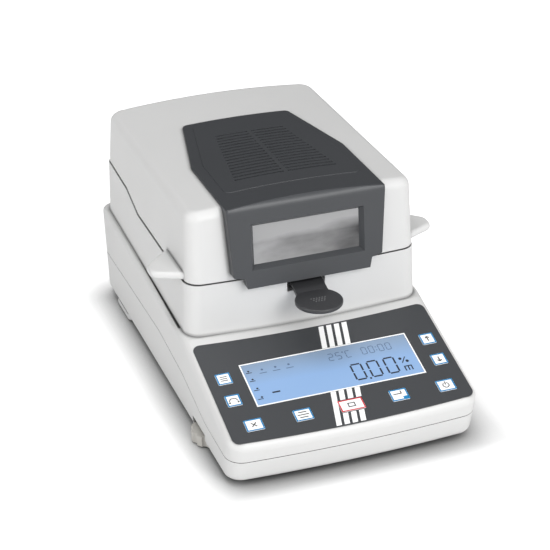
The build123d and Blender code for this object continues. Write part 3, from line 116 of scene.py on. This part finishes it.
def block(x, down, wide, tall, low, thick, turn=0.0):
    # Thin printed bar in the panel's own frame
    bpy.ops.object.select_all(action="DESELECT")
    bpy.ops.mesh.primitive_cube_add(size=1, location=(x * MM, -down * MM, (low + thick / 2) * MM),
                                    rotation=(0, 0, turn))
    obj = bpy.context.object
    obj.scale = (wide * MM, tall * MM, thick * MM)
    bpy.ops.object.transform_apply(location=True, rotation=True, scale=True)
    return obj


def disc(x, down, radius, low, thick, sides=24):
    bpy.ops.object.select_all(action="DESELECT")
    bpy.ops.mesh.primitive_cylinder_add(vertices=sides, radius=radius * MM, depth=thick * MM,
                                        location=(x * MM, -down * MM, (low + thick / 2) * MM))
    obj = bpy.context.object
    bpy.ops.object.transform_apply(location=True, rotation=True, scale=True)
    return obj


def together(name, pieces, mat):
    # Joins pieces into one object with one material
    bpy.ops.object.select_all(action="DESELECT")
    for piece in pieces:
        piece.select_set(True)
    bpy.context.view_layer.objects.active = pieces[0]
    if len(pieces) > 1:
        bpy.ops.object.join()
    obj = bpy.context.object
    obj.name = name
    obj.data.materials.clear()
    obj.data.materials.append(mat)
    return obj


def bisect(obj, at, normal):
    # Cuts off what lies beyond a plane
    bpy.ops.object.select_all(action="DESELECT")
    obj.select_set(True)
    bpy.context.view_layer.objects.active = obj
    bpy.ops.object.mode_set(mode="EDIT")
    bpy.ops.mesh.select_all(action="SELECT")
    bpy.ops.mesh.bisect(plane_co=at, plane_no=normal, clear_outer=True, use_fill=True)
    bpy.ops.object.mode_set(mode="OBJECT")


def on_panel(obj, body="base"):
    # Lays a piece made in the panel's frame onto the panel
    bpy.ops.object.select_all(action="DESELECT")
    obj.select_set(True)
    bpy.context.view_layer.objects.active = obj
    obj.rotation_euler = (PANEL_SLOPE, 0, 0)
    obj.location = PANEL_AT
    bpy.ops.object.transform_apply(location=True, rotation=True, scale=True)
    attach(obj, body)
    return obj


STRIPE_LEAN = 0.229
STRIPE_LEFT = 6.6
STRIPE_PITCH = 6.6
STRIPE_WIDE = 4.2
# Stripes are made longer by this and then cut square across
STRIPE_SPARE = 8
STRIPE_START = 3.5


def stripes(name, first, last, top, bottom):
    # Leaning stripes between two places down the panel
    bars = []
    middle = (top + bottom) / 2
    for step in range(first, last + 1):
        x = STRIPE_LEFT + STRIPE_WIDE / 2 + STRIPE_PITCH * step - STRIPE_LEAN * (middle - STRIPE_START)
        bars.append(block(x, middle, STRIPE_WIDE, (bottom - top) + STRIPE_SPARE, FOIL_TOP, PRINT_THICK,
                          -atan2(STRIPE_LEAN, 1.0)))
    obj = together(name, bars, white_print)
    bisect(obj, (0, -top * MM, 0), (0, 1, 0))
    bisect(obj, (0, -bottom * MM, 0), (0, -1, 0))
    return on_panel(obj)


stripes("stripes_top", 0, 3, 4.9, 28.8)
stripes("stripe_side", 0, 0, 75.2, 109.4)
stripes("stripes_above_key", 1, 3, 75.2, 85.0)
stripes("stripes_below_key", 1, 3, 98.4, 109.4)

# Display: a lit liquid crystal cell behind a clear lens, in a printed white frame.
# Its light falls off towards the upper edge; the segments are etched on the cell.
LCD_X, LCD_DOWN, LCD_WIDE, LCD_HIGH = 0.8, 52.0, 138.0, 43.6
LENS_TOP = 0.1
# Heights over the table between which the display's light falls off
DISPLAY_LOW, DISPLAY_HIGH = 51.5 * MM, 64.2 * MM


def lit_display():
    mat = bpy.data.materials.new("display")
    mat.use_nodes = True
    tree = mat.node_tree
    shader = tree.nodes["Principled BSDF"]
    shader.inputs["Roughness"].default_value = 0.32
    shader.inputs["Emission Strength"].default_value = 0.35
    place = tree.nodes.new("ShaderNodeTexCoord")
    split = tree.nodes.new("ShaderNodeSeparateXYZ")
    reach = tree.nodes.new("ShaderNodeMapRange")
    reach.inputs["From Min"].default_value = DISPLAY_LOW
    reach.inputs["From Max"].default_value = DISPLAY_HIGH
    cloud = tree.nodes.new("ShaderNodeTexNoise")
    cloud.inputs["Scale"].default_value = 9.0
    add = tree.nodes.new("ShaderNodeMath")
    add.operation = "MULTIPLY_ADD"
    add.inputs[1].default_value = 0.16
    ramp = tree.nodes.new("ShaderNodeValToRGB")
    ramp.color_ramp.elements[0].position = 0.55
    ramp.color_ramp.elements[0].color = (0.205, 0.326, 0.53, 1)
    ramp.color_ramp.elements[1].position = 1.1
    ramp.color_ramp.elements[1].color = (0.19, 0.26, 0.365, 1)
    tree.links.new(place.outputs["Object"], split.inputs["Vector"])
    tree.links.new(place.outputs["Object"], cloud.inputs["Vector"])
    tree.links.new(split.outputs["Z"], reach.inputs["Value"])
    tree.links.new(cloud.outputs["Fac"], add.inputs[0])
    tree.links.new(reach.outputs["Result"], add.inputs[2])
    tree.links.new(add.outputs["Value"], ramp.inputs["Fac"])
    tree.links.new(ramp.outputs["Color"], shader.inputs["Base Color"])
    tree.links.new(ramp.outputs["Color"], shader.inputs["Emission Color"])
    return mat


coat(lit_display(), "display_window", "lcd_module")
segment_ink = finish("segment_ink", (0.012, 0.016, 0.03), 0.6)
faint_ink = finish("faint_ink", (0.10, 0.16, 0.27), 0.6)


def border(x, down, wide, tall, line, low, thick):
    # Four bars around a rectangle, outside its edge
    return [block(x, down - (tall + line) / 2, wide + 2 * line, line, low, thick),
            block(x, down + (tall + line) / 2, wide + 2 * line, line, low, thick),
            block(x - (wide + line) / 2, down, line, tall, low, thick),
            block(x + (wide + line) / 2, down, line, tall, low, thick)]


FRAME_LINE = 1.1
frame_bars = border(LCD_X, LCD_DOWN, LCD_WIDE, LCD_HIGH, FRAME_LINE, FOIL_TOP, PRINT_THICK)
on_panel(together("display_frame", frame_bars, white_print))
SEGMENTS = {"0": "abcdef", "2": "abged", "5": "afgcd", "C": "adef"}


def digit(symbol, x, down, wide, tall, line):
    # Seven-segment figure around its centre
    half_w, half_t = wide / 2, tall / 2
    gap = line * 0.9
    flat, upright = (wide - gap, line), (line, half_t - gap)
    bars = {"a": (0, -half_t) + flat, "g": (0, 0) + flat, "d": (0, half_t) + flat,
            "b": (half_w, -half_t / 2) + upright, "c": (half_w, half_t / 2) + upright,
            "e": (-half_w, half_t / 2) + upright, "f": (-half_w, -half_t / 2) + upright}
    return [block(x + bars[k][0], down + bars[k][1], bars[k][2], bars[k][3], LENS_TOP, INK_THICK)
            for k in SEGMENTS[symbol]]


def stroke(x, down, wide, tall, turn=0.0):
    # Bar etched on the display
    return block(x, down, wide, tall, LENS_TOP, INK_THICK, turn)


def spot(x, down, radius, sides=12):
    # Round mark etched on the display
    return disc(x, down, radius, LENS_TOP, INK_THICK, sides)


# The result with its unit, the dash of the running program, and plain marks down the left edge
BIG_FIGURE, SMALL_FIGURE = (8.4, 16.5, 1.4), (3.8, 7.2, 0.65)
marks = []
for x in (19.5, 33.0, 47.0):
    marks += digit("0", x, 60.0, *BIG_FIGURE)
marks.append(spot(26.4, 69.0, 0.9))
marks += [stroke(58.8, 57.0, 0.8, 7.4, radians(-35)), spot(56.4, 55.2, 1.35), spot(61.2, 58.8, 1.35)]
marks += [stroke(x, 66.3, 1.0, 5.0) for x in (56.8, 59.6, 62.4)]
marks.append(stroke(59.6, 64.0, 6.4, 1.0))
marks.append(stroke(-50.0, 63.5, 6.4, 1.5))
for step, down in enumerate((38.0, 47.0, 57.0, 66.5)):
    marks.append(stroke(-64.0, down + 1.2, 4.6, 0.7))
    marks.append(spot(-64.0 + 0.5 * step, down - 0.6, 0.9, 10))
on_panel(together("display_marks", marks, segment_ink))

# Temperature and time in faint figures, and faint marks along the top
small = []
for symbol, x in (("2", 4.0), ("5", 10.4), ("C", 18.6)):
    small += digit(symbol, x, 39.5, *SMALL_FIGURE)
small.append(spot(14.6, 36.4, 0.7, 10))
for x in (32.0, 38.2, 46.4, 52.6):
    small += digit("0", x, 39.5, *SMALL_FIGURE)
small += [spot(42.3, 37.8, 0.5, 10), spot(42.3, 41.2, 0.5, 10)]
for x in (-53.0, -42.0, -31.0):
    small += [spot(x, 38.0, 1.0), stroke(x, 41.6, 6.0, 0.7)]
on_panel(together("display_small_marks", small, faint_ink))

# Keys: white printed caps with a thin blue edge; the zeroing key has a wider red one.
# Each key's print rides on its cap. The symbols are plain signs.
KEYS = {"key_menu": (-84.8, 40.2, 11.6), "key_test": (-84.8, 63.8, 11.6), "key_up": (86.5, 40.2, 11.6),
        "key_down": (86.5, 63.8, 11.6), "key_escape": (-77.7, 91.7, 14.2),
        "key_start": (-38.2, 91.7, 14.2), "key_tare": (1.3, 91.7, 19.8),
        "key_enter": (40.8, 91.7, 14.2), "key_power": (80.3, 91.7, 14.2)}
KEY_HIGH, KEY_TOP = 11.6, 0.45
# The print stays inside the cap's rounded corners, so it clears the foil when the key is pressed
EDGE_INSET = 0.05
EDGE_LOW = KEY_TOP - 0.02
BLUE_LINE, RED_LINE = 1.1, 1.0
cap_white = finish("key_cap", (0.87, 0.87, 0.865), 0.45, grain=1600.0)
coat(cap_white, *KEYS)
WHITE_GLOW = 0.16
for mat in (cap_white, white_print):
    # Painted light: these whites glow a little, so they look brighter than the housing
    inputs = mat.node_tree.nodes["Principled BSDF"].inputs
    inputs["Emission Color"].default_value = (1, 1, 1, 1)
    inputs["Emission Strength"].default_value = WHITE_GLOW
blue_print = finish("blue_print", (0.005, 0.22, 0.50), 0.5)
red_print = finish("red_print", (0.62, 0.015, 0.03), 0.5)
sign_ink = finish("sign_ink", (0.07, 0.07, 0.075), 0.55)


def bar(x, down, wide, tall, turn=0.0):
    # Bar printed on a key cap
    return block(x, down, wide, tall, KEY_TOP, INK_THICK, turn)


def chevron(x, down, size, line, way):
    # Arrow head of two turned bars; way is +1 up, -1 down
    return [bar(x + side * size * 0.32, down, line, size, way * side * radians(45)) for side in (-1, 1)]


def key_sign(name, x, down):
    # Plain sign around a key's centre
    if name in ("key_up", "key_down"):
        way = 1 if name == "key_up" else -1
        return [bar(x, down, 1.0, 5.2)] + chevron(x, down - way * 1.6, 2.6, 1.0, way)
    if name == "key_menu":
        return [bar(x, down + shift, 5.6, 0.8) for shift in (-2.0, 0, 2.0)]
    if name == "key_test":
        arc = [bar(x, down - 1.8, 4.4, 0.8)]
        arc += [bar(x + side * 2.8, down - 0.4, 0.8, 3.0, side * radians(30)) for side in (-1, 1)]
        return arc + [disc(x + side * 3.4, down + 2.2, 0.8, KEY_TOP, INK_THICK, 12) for side in (-1, 1)]
    if name == "key_escape":
        return [bar(x, down, 0.9, 5.6, side * radians(45)) for side in (-1, 1)]
    if name == "key_start":
        return [bar(x, down + shift, wide, 0.9) for shift, wide in ((-2.6, 6.6), (0, 9.0), (2.6, 6.6))]
    if name == "key_tare":
        return [bar(x - 2.6, down, 0.9, 3.6), bar(x + 2.6, down, 0.9, 3.6),
                bar(x, down - 1.8, 6.1, 0.9), bar(x, down + 1.8, 6.1, 0.9)]
    if name == "key_enter":
        return [bar(x - 1.0, down - 1.0, 7.0, 0.9), bar(x + 2.1, down - 2.4, 0.9, 3.0)]
    ring = [bar(x + 2.4 * sin(radians(a)), down - 2.4 * cos(radians(a)), 1.5, 0.8, -radians(a))
            for a in range(40, 340, 30)]
    return [bar(x, down - 2.2, 0.9, 3.4)] + ring


for name, (x, down, wide) in KEYS.items():
    line, ink = (RED_LINE, red_print) if name == "key_tare" else (BLUE_LINE, blue_print)
    inner = 2 * (line + EDGE_INSET)
    edge = border(x, down, wide - inner, KEY_HIGH - inner, line, EDGE_LOW, INK_THICK)
    if name == "key_enter":
        edge.append(block(x + wide / 2 - 2.6, down + KEY_HIGH / 2 - 2.0, 4.4, 3.2, EDGE_LOW, INK_THICK))
    on_panel(together(name + "_edge", edge, ink), name)
    on_panel(together(name + "_sign", key_sign(name, x, down), sign_ink), name)

# Pan lifter: a glass-filled nylon ring with a round thumb plate in front.
# Small raised dots on the thumb plate give grip; their lighter grey is a painted highlight.
lifter_black = finish("lifter", (0.040, 0.041, 0.044), 0.40, depth=0.25, grain=1400.0)
coat(lifter_black, "pan_lifter")
# Down the dots' first row and the height of their feet, just inside the plate's top
DOTS_DOWN, DOTS_LOW = 96.5, 106.5
DOT_PITCH, DOT_ROW_PITCH = 2.3, 2.6
DOT_RADIUS, DOT_HIGH = 0.6, 0.45
dots = []
for row, count in enumerate((6, 5, 4)):
    for i in range(count):
        dots.append(disc(DOT_PITCH * (i - (count - 1) / 2), DOTS_DOWN + DOT_ROW_PITCH * row,
                         DOT_RADIUS, DOTS_LOW, DOT_HIGH, 12))
dot_piece = together("lifter_dots", dots, finish("lifter_dots", (0.16, 0.16, 0.165), 0.3))
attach(dot_piece, "base")

# Lid cover: charcoal moulding with the vent slots and the window's bevelled reveal.
# It is clipped and screwed to the white lid shell.
coat(finish("cover", (0.050, 0.053, 0.058), 0.40, grain=1100.0, depth=0.12), "lid_cover")
WINDOW_HALF, WINDOW_LOW, WINDOW_HIGH = 46.0 * MM, 133.5 * MM, 166.0 * MM


def painted_window_view():
    # Glass whose colour and slight glow are a painted view of the heating chamber's blurred bright
    # metal
    mat = bpy.data.materials.new("window")
    mat.use_nodes = True
    tree = mat.node_tree
    shader = tree.nodes["Principled BSDF"]
    shader.inputs["Roughness"].default_value = 0.16
    shader.inputs["Emission Strength"].default_value = 0.1
    place = tree.nodes.new("ShaderNodeTexCoord")
    # Painted light and shade: brighter on the left and above, darker towards the right reveal and
    # halfway up
    split = tree.nodes.new("ShaderNodeSeparateXYZ")
    fall = tree.nodes.new("ShaderNodeMapRange")
    fall.inputs["From Min"].default_value = -WINDOW_HALF
    fall.inputs["From Max"].default_value = WINDOW_HALF
    fall.inputs["To Min"].default_value = 0.42
    fall.inputs["To Max"].default_value = -0.12
    level = tree.nodes.new("ShaderNodeMapRange")
    level.inputs["From Min"].default_value = WINDOW_LOW
    level.inputs["From Max"].default_value = WINDOW_HIGH
    band = tree.nodes.new("ShaderNodeValToRGB")
    band.color_ramp.elements.new(0.5)
    for element, (at, tone) in zip(band.color_ramp.elements, ((0.0, 0.14), (0.52, 0.06), (1.0, 1.0))):
        element.position = at
        element.color = (tone, tone, tone, 1)
    both = tree.nodes.new("ShaderNodeMath")
    both.operation = "ADD"
    mix = tree.nodes.new("ShaderNodeMath")
    mix.operation = "MULTIPLY_ADD"
    mix.inputs[1].default_value = 0.65
    stretch = tree.nodes.new("ShaderNodeMapping")
    stretch.inputs["Scale"].default_value = (0.6, 1.0, 1.6)
    noise = tree.nodes.new("ShaderNodeTexNoise")
    noise.inputs["Scale"].default_value = 42.0
    noise.inputs["Detail"].default_value = 8.0
    ramp = tree.nodes.new("ShaderNodeValToRGB")
    ramp.color_ramp.elements[0].position = 0.25
    ramp.color_ramp.elements[0].color = (0.035, 0.035, 0.037, 1)
    ramp.color_ramp.elements[1].position = 0.85
    ramp.color_ramp.elements[1].color = (0.31, 0.31, 0.314, 1)
    tree.links.new(place.outputs["Object"], stretch.inputs["Vector"])
    tree.links.new(stretch.outputs["Vector"], noise.inputs["Vector"])
    tree.links.new(place.outputs["Object"], split.inputs["Vector"])
    tree.links.new(split.outputs["X"], fall.inputs["Value"])
    tree.links.new(split.outputs["Z"], level.inputs["Value"])
    tree.links.new(level.outputs["Result"], band.inputs["Fac"])
    tree.links.new(fall.outputs["Result"], both.inputs[0])
    tree.links.new(band.outputs["Color"], both.inputs[1])
    tree.links.new(noise.outputs["Fac"], mix.inputs[0])
    tree.links.new(both.outputs["Value"], mix.inputs[2])
    tree.links.new(mix.outputs["Value"], ramp.inputs["Fac"])
    tree.links.new(ramp.outputs["Color"], shader.inputs["Base Color"])
    tree.links.new(ramp.outputs["Color"], shader.inputs["Emission Color"])
    return mat


coat(painted_window_view(), "window_glass")
coat(finish("gasket", (0.03, 0.03, 0.03), 0.7), "window_frame")

# Heating unit in the lid: folded steel hood and base plate, polished reflector, quartz lamp.
# The lamp sits in ceramic holders; a glass disc on four clips keeps it off the sample.
steel = finish("steel", (0.58, 0.58, 0.58), 0.34, metal=1.0, grain=300.0)
zinc = finish("zinc", (0.52, 0.53, 0.55), 0.28, metal=1.0, grain=500.0)
alloy = finish("alloy", (0.70, 0.71, 0.72), 0.38, metal=1.0, grain=500.0)
mirror = finish("mirror", (0.86, 0.86, 0.86), 0.08, metal=1.0, depth=0.01)
ceramic = finish("ceramic", (0.80, 0.78, 0.74), 0.7)
coat(steel, "heater_hood", "lid_base_plate", "glass_clips", "temperature_probe", "chamber_ring",
     "chamber_floor", "pan_carrier")
coat(mirror, "reflector")
coat(ceramic, "lamp_holders")


def clear_glass(name, colour):
    mat = finish(name, colour, 0.03, depth=0.005)
    mat.node_tree.nodes["Principled BSDF"].inputs["Transmission Weight"].default_value = 0.9
    return mat


coat(clear_glass("quartz", (0.93, 0.95, 0.96)), "halogen_lamp", "lamp_glass")

# Weighing side: pressed aluminium pan on its carrier, shield ring, load cell and its cast mount.
coat(alloy, "sample_pan", "draft_shield", "load_cell", "load_cell_mount")

# Electronics inside the housing: boards, transformer, connectors on the back.
coat(finish("board", (0.03, 0.16, 0.07), 0.5), "keypad_board", "main_board")
coat(finish("transformer", (0.10, 0.095, 0.09), 0.5, metal=0.6), "power_supply")
coat(finish("black_plastic", (0.02, 0.02, 0.021), 0.4), "inlet_socket", "fuse_drawer", "level_ring")
coat(zinc, "serial_port", "port_screws", "housing_screws", "hinge_brackets", "hinge_pins",
     "hinge_leaves", "lid_screws")
coat(clear_glass("vial", (0.62, 0.78, 0.25)), "level_vial")

# Feet: cream lobed wheels on studs with rubber pads in front, rubber pads behind.
coat(finish("foot_cream", (0.54, 0.525, 0.49), 0.5), "foot_wheel_left", "foot_wheel_right")
coat(finish("rubber", (0.16, 0.16, 0.16), 0.8), "foot_pad_left", "foot_pad_right", "rear_feet")

# Paper floor of the photo studio: white, with the soft shadow around the housing's foot, partly painted
# into the paper's colour.
# The glow starts at the edge of the footprint, which is moved a little to the right and the front.
FLOOR_SIZE = 8.0
FOOTPRINT = (0.112, 0.172, 10.0)
SHADOW_AT = (0.012, -0.012, 0)
GLOW_REACH, GLOW = 0.045, 0.5
CONTACT_REACH, CONTACT_POWER = 0.03, 1.0
bpy.ops.object.select_all(action="DESELECT")
bpy.ops.mesh.primitive_plane_add(size=FLOOR_SIZE, location=(0, 0, 0))
floor = bpy.context.object
floor.name = "floor"
paper = finish("floor", (0.93, 0.93, 0.93), 0.8, shade=0.005)


def fade_to_white(mat, reach, strength):
    # The paper glows away from the object, so its shadow stays and the background is white
    tree = mat.node_tree
    shader = tree.nodes["Principled BSDF"]
    shader.inputs["Emission Color"].default_value = (1, 1, 1, 1)
    place = tree.nodes.new("ShaderNodeTexCoord")
    steps = []
    for kind, value in (("SUBTRACT", SHADOW_AT), ("ABSOLUTE", None), ("SUBTRACT", FOOTPRINT),
                        ("MAXIMUM", (0, 0, 0)), ("LENGTH", None)):
        step = tree.nodes.new("ShaderNodeVectorMath")
        step.operation = kind
        if value:
            step.inputs[1].default_value = value
        steps.append(step)
    glow = tree.nodes.new("ShaderNodeMapRange")
    glow.inputs["From Max"].default_value = reach
    glow.inputs["To Max"].default_value = strength
    tree.links.new(place.outputs["Object"], steps[0].inputs[0])
    for before, after in zip(steps, steps[1:]):
        tree.links.new(before.outputs["Vector"], after.inputs[0])
    tree.links.new(steps[-1].outputs["Value"], glow.inputs["Value"])
    # Only the camera sees the glow, so it doesn't light the housing from below
    path = tree.nodes.new("ShaderNodeLightPath")
    seen = tree.nodes.new("ShaderNodeMath")
    seen.operation = "MULTIPLY"
    tree.links.new(glow.outputs["Result"], seen.inputs[0])
    tree.links.new(path.outputs["Is Camera Ray"], seen.inputs[1])
    tree.links.new(seen.outputs["Value"], shader.inputs["Emission Strength"])


fade_to_white(paper, GLOW_REACH, GLOW)
# Painted contact shadow: the paper's colour is darkened near the housing
paint_crevice_shade(paper, CONTACT_REACH, CONTACT_POWER)
floor.data.materials.append(paper)

# Soft lights: a large one in front, one above, a weak one on the left.
# Each row is a name, where it stands, how high it aims, its size in metres and its power in watts.
LIGHTS = (("key_light", (0.6, -2.3, 1.4), 0.08, 1.3, 32.5),
          ("top_light", (-0.3, 0.1, 2.1), 0.1, 1.1, 11),
          ("side_light", (-2.0, -0.3, 0.9), 0.1, 1.2, 10))


def softbox(name, at, aim, size, power):
    bpy.ops.object.light_add(type="AREA", location=at)
    light = bpy.context.object
    light.name = name
    light.data.shape = "DISK"
    light.data.size = size
    light.data.energy = power
    light.rotation_euler = (Vector(at) - Vector((0, 0, aim))).to_track_quat("Z", "Y").to_euler()


for light_row in LIGHTS:
    softbox(*light_row)

# Surroundings: brighter in front of the object, dimmer behind it, and pure white to the camera.
SKY_FRONT, SKY_BEHIND, SKY_SPREAD = 0.96, 0.07, 0.9


def studio_world():
    world = bpy.data.worlds.new("studio")
    world.use_nodes = True
    sky = world.node_tree
    background = sky.nodes["Background"]
    background.inputs["Color"].default_value = (1.0, 1.0, 1.0, 1)
    place = sky.nodes.new("ShaderNodeTexCoord")
    split = sky.nodes.new("ShaderNodeSeparateXYZ")
    fall = sky.nodes.new("ShaderNodeMapRange")
    fall.inputs["From Min"].default_value = -SKY_SPREAD
    fall.inputs["From Max"].default_value = SKY_SPREAD
    fall.inputs["To Min"].default_value = SKY_FRONT
    fall.inputs["To Max"].default_value = SKY_BEHIND
    path = sky.nodes.new("ShaderNodeLightPath")
    white = sky.nodes.new("ShaderNodeMath")
    white.operation = "MAXIMUM"
    sky.links.new(place.outputs["Generated"], split.inputs["Vector"])
    sky.links.new(split.outputs["Y"], fall.inputs["Value"])
    sky.links.new(fall.outputs["Result"], white.inputs[0])
    sky.links.new(path.outputs["Is Camera Ray"], white.inputs[1])
    sky.links.new(white.outputs["Value"], background.inputs["Strength"])
    return world


bpy.context.scene.world = studio_world()
bpy.context.scene.view_settings.view_transform = "Standard"

# Camera: solved from the photograph, at the left in front, looking down.
# The focal length is in pixels of a picture 550 pixels wide.
CAMERA_AT = (-0.42454, -1.21302, 0.74156)
AZIMUTH, ELEVATION, ROLL = radians(-19.224), radians(27.212), radians(-1.219)
FOCAL_PIXELS, IMAGE_WIDE = 1731.7, 550.0
SENSOR_WIDE = 36.0
back = Vector((sin(AZIMUTH) * cos(ELEVATION), -cos(AZIMUTH) * cos(ELEVATION), sin(ELEVATION)))
right = (-back).cross(Vector((0, 0, 1))).normalized()
up = right.cross(-back)
axis_x = cos(ROLL) * right + sin(ROLL) * up
axis_y = -sin(ROLL) * right + cos(ROLL) * up
bpy.ops.object.camera_add()
camera = bpy.context.object
camera.data.sensor_width = SENSOR_WIDE
camera.data.lens = FOCAL_PIXELS / IMAGE_WIDE * SENSOR_WIDE
camera.matrix_world = Matrix((
    (axis_x.x, axis_y.x, back.x, CAMERA_AT[0]), (axis_x.y, axis_y.y, back.y, CAMERA_AT[1]),
    (axis_x.z, axis_y.z, back.z, CAMERA_AT[2]), (0, 0, 0, 1)))
bpy.context.scene.camera = camera
